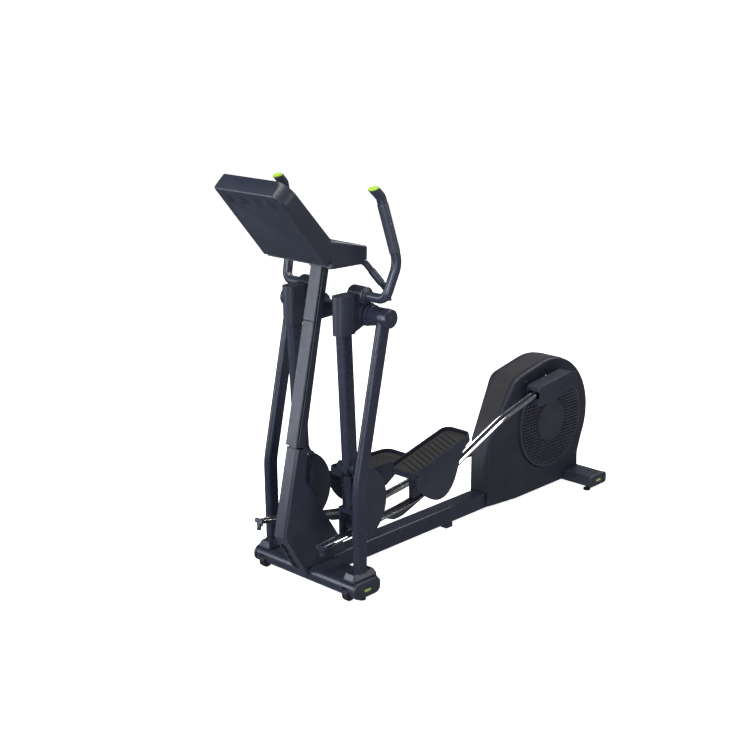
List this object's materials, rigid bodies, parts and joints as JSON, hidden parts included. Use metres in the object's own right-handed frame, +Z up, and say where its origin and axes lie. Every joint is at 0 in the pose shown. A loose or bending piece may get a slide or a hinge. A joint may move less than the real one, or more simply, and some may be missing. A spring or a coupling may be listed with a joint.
{
  "type": "elliptical trainer",
  "caption": "Rear-drive elliptical trainer with swinging handle arms, long pedal rails on twin tubes, rear crank housing and a tilted console on a leaning mast.",
  "frame": {"origin": "on the floor under the middle of the machine", "axes": "+X towards the drive housing, -Y the user's left, +Z up"},
  "size_m": [2.1719, 0.6766, 1.7941],
  "materials": {
    "frame_paint": "satin powder coat",
    "arm_paint": "satin powder coat",
    "cover_plastic": "fine grained",
    "housing_plastic": "coarse textured",
    "roof_plastic": "fine grained",
    "console_plastic": "fine grained",
    "cap_plastic": "fine grained",
    "disc_plastic": "ribbed ring, smooth hub",
    "lime_plastic": "glossy",
    "handle_rubber": "matte",
    "grip_rubber": "fine textured",
    "tread_rubber": "ribbed",
    "wheel_rubber": "matte",
    "foot_rubber": "matte",
    "chrome": "polished",
    "steel": "turned",
    "pulse_steel": "dark satin",
    "bezel": "gloss",
    "screen": "gloss",
    "stop_red": "gloss",
    "inlet_plastic": "fine grained",
    "switch_plastic": "gloss",
    "flywheel_iron": "machined",
    "pulley_alloy": "machined",
    "belt_rubber": "matte"
  },
  "bodies": {
    "frame": {"front_stabiliser": "frame_paint", "rear_stabiliser": "frame_paint", "end_caps": "cap_plastic", "cap_inlays": "lime_plastic", "levelling_feet": "foot_rubber", "spine_tube": "frame_paint", "side_post_left": "frame_paint", "side_post_right": "frame_paint", "pivot_axle": "steel", "mast_tube": "frame_paint", "mast_mid_cover": "cover_plastic", "mast_upper_cover": "cover_plastic", "mast_lower_shroud": "cover_plastic", "power_inlet": "inlet_plastic", "console_shell": "console_plastic", "console_bezel": "bezel", "console_screen": "screen", "console_tray": "console_plastic", "fixed_handlebar": "frame_paint", "pulse_grips": "pulse_steel", "housing_shell_left": "housing_plastic", "housing_shell_right": "housing_plastic", "housing_top_cover": "roof_plastic", "drive_frame": "frame_paint", "drive_belt": "belt_rubber", "fasteners": "steel"},
    "swing_left": {"swing_head_left": "cover_plastic", "swing_tube_left": "arm_paint", "handle_tube_left": "handle_rubber", "handle_grip_left": "grip_rubber", "handle_tip_left": "lime_plastic"},
    "trunnion_left": {"trunnion_left": "steel"},
    "rail_left": {"rail_tubes_left": "chrome", "rail_frame_left": "arm_paint", "guard_disc_left": "cover_plastic", "rail_cover_left": "cover_plastic", "pedal_left": "cover_plastic", "pedal_tread_left": "tread_rubber"},
    "swing_right": {"swing_head_right": "cover_plastic", "swing_tube_right": "arm_paint", "handle_tube_right": "handle_rubber", "handle_grip_right": "grip_rubber", "handle_tip_right": "lime_plastic"},
    "trunnion_right": {"trunnion_right": "steel"},
    "rail_right": {"rail_tubes_right": "chrome", "rail_frame_right": "arm_paint", "guard_disc_right": "cover_plastic", "rail_cover_right": "cover_plastic", "pedal_right": "cover_plastic", "pedal_tread_right": "tread_rubber"},
    "crank": {"crank_shaft": "steel", "crank_disc_left": "disc_plastic", "crank_disc_right": "disc_plastic", "drive_pulley": "pulley_alloy"},
    "flywheel": {"flywheel": "flywheel_iron"},
    "wheel_left": {"transport_wheel_left": "wheel_rubber"},
    "wheel_right": {"transport_wheel_right": "wheel_rubber"},
    "stop_button": {"stop_button": "stop_red"},
    "power_switch": {"power_switch": "switch_plastic"}
  },
  "joints": [
    {"name": "swing_left", "type": "hinge", "parent": "frame", "child": "swing_left", "pos_m": [-0.6146, -0.15, 1.196], "axis": [0, 1, 0], "range_deg": [-17, 19]},
    {"name": "swing_right", "type": "hinge", "parent": "frame", "child": "swing_right", "pos_m": [-0.6146, 0.15, 1.196], "axis": [0, 1, 0], "range_deg": [-19, 17]},
    {"name": "yoke_left", "type": "hinge", "parent": "swing_left", "child": "trunnion_left", "pos_m": [-0.7026, -0.15, 0.538], "axis": [0, 1, 0], "range_deg": [-19, 17]},
    {"name": "yoke_right", "type": "hinge", "parent": "swing_right", "child": "trunnion_right", "pos_m": [-0.70196, 0.15, 0.53792], "axis": [0, 1, 0], "range_deg": [-17, 19]},
    {"name": "rail_left", "type": "hinge", "parent": "trunnion_left", "child": "rail_left", "pos_m": [-0.7026, -0.15, 0.538], "axis": [0, 1, 0], "range_deg": [0, 16]},
    {"name": "rail_right", "type": "hinge", "parent": "trunnion_right", "child": "rail_right", "pos_m": [-0.70196, 0.15, 0.53792], "axis": [0, 1, 0], "range_deg": [-16, 0]},
    {"name": "crank", "type": "hinge", "parent": "frame", "child": "crank", "pos_m": [0.7594, 0, 0.382], "axis": [0, 1, 0], "continuous": true},
    {"name": "flywheel", "type": "hinge", "parent": "frame", "child": "flywheel", "pos_m": [0.4764, 0, 0.3], "axis": [0, 1, 0], "continuous": true},
    {"name": "wheel_left", "type": "hinge", "parent": "frame", "child": "wheel_left", "pos_m": [-0.8336, -0.262, 0.033], "axis": [0, 1, 0], "continuous": true},
    {"name": "wheel_right", "type": "hinge", "parent": "frame", "child": "wheel_right", "pos_m": [-0.8336, 0.262, 0.033], "axis": [0, 1, 0], "continuous": true},
    {"name": "power_switch", "type": "hinge", "parent": "frame", "child": "power_switch", "pos_m": [-0.90637, 0, 0.12797], "axis": [0, 1, 0], "range_deg": [0, 10]},
    {"name": "stop_button", "type": "slide", "parent": "frame", "child": "stop_button", "axis": [-0.246, 0, -0.9693], "range_m": [0, 0.003], "stiffness_N_per_m": 400, "springref_m": -0.002}
  ],
  "couplings": [
    {"joint": "swing_right", "follows": "swing_left", "ratio": -1},
    {"joint": "yoke_left", "follows": "swing_left", "ratio": -1},
    {"joint": "yoke_right", "follows": "swing_left", "ratio": 1},
    {"joint": "rail_right", "follows": "rail_left", "ratio": -1},
    {"joint": "flywheel", "follows": "crank", "ratio": 6}
  ]
}
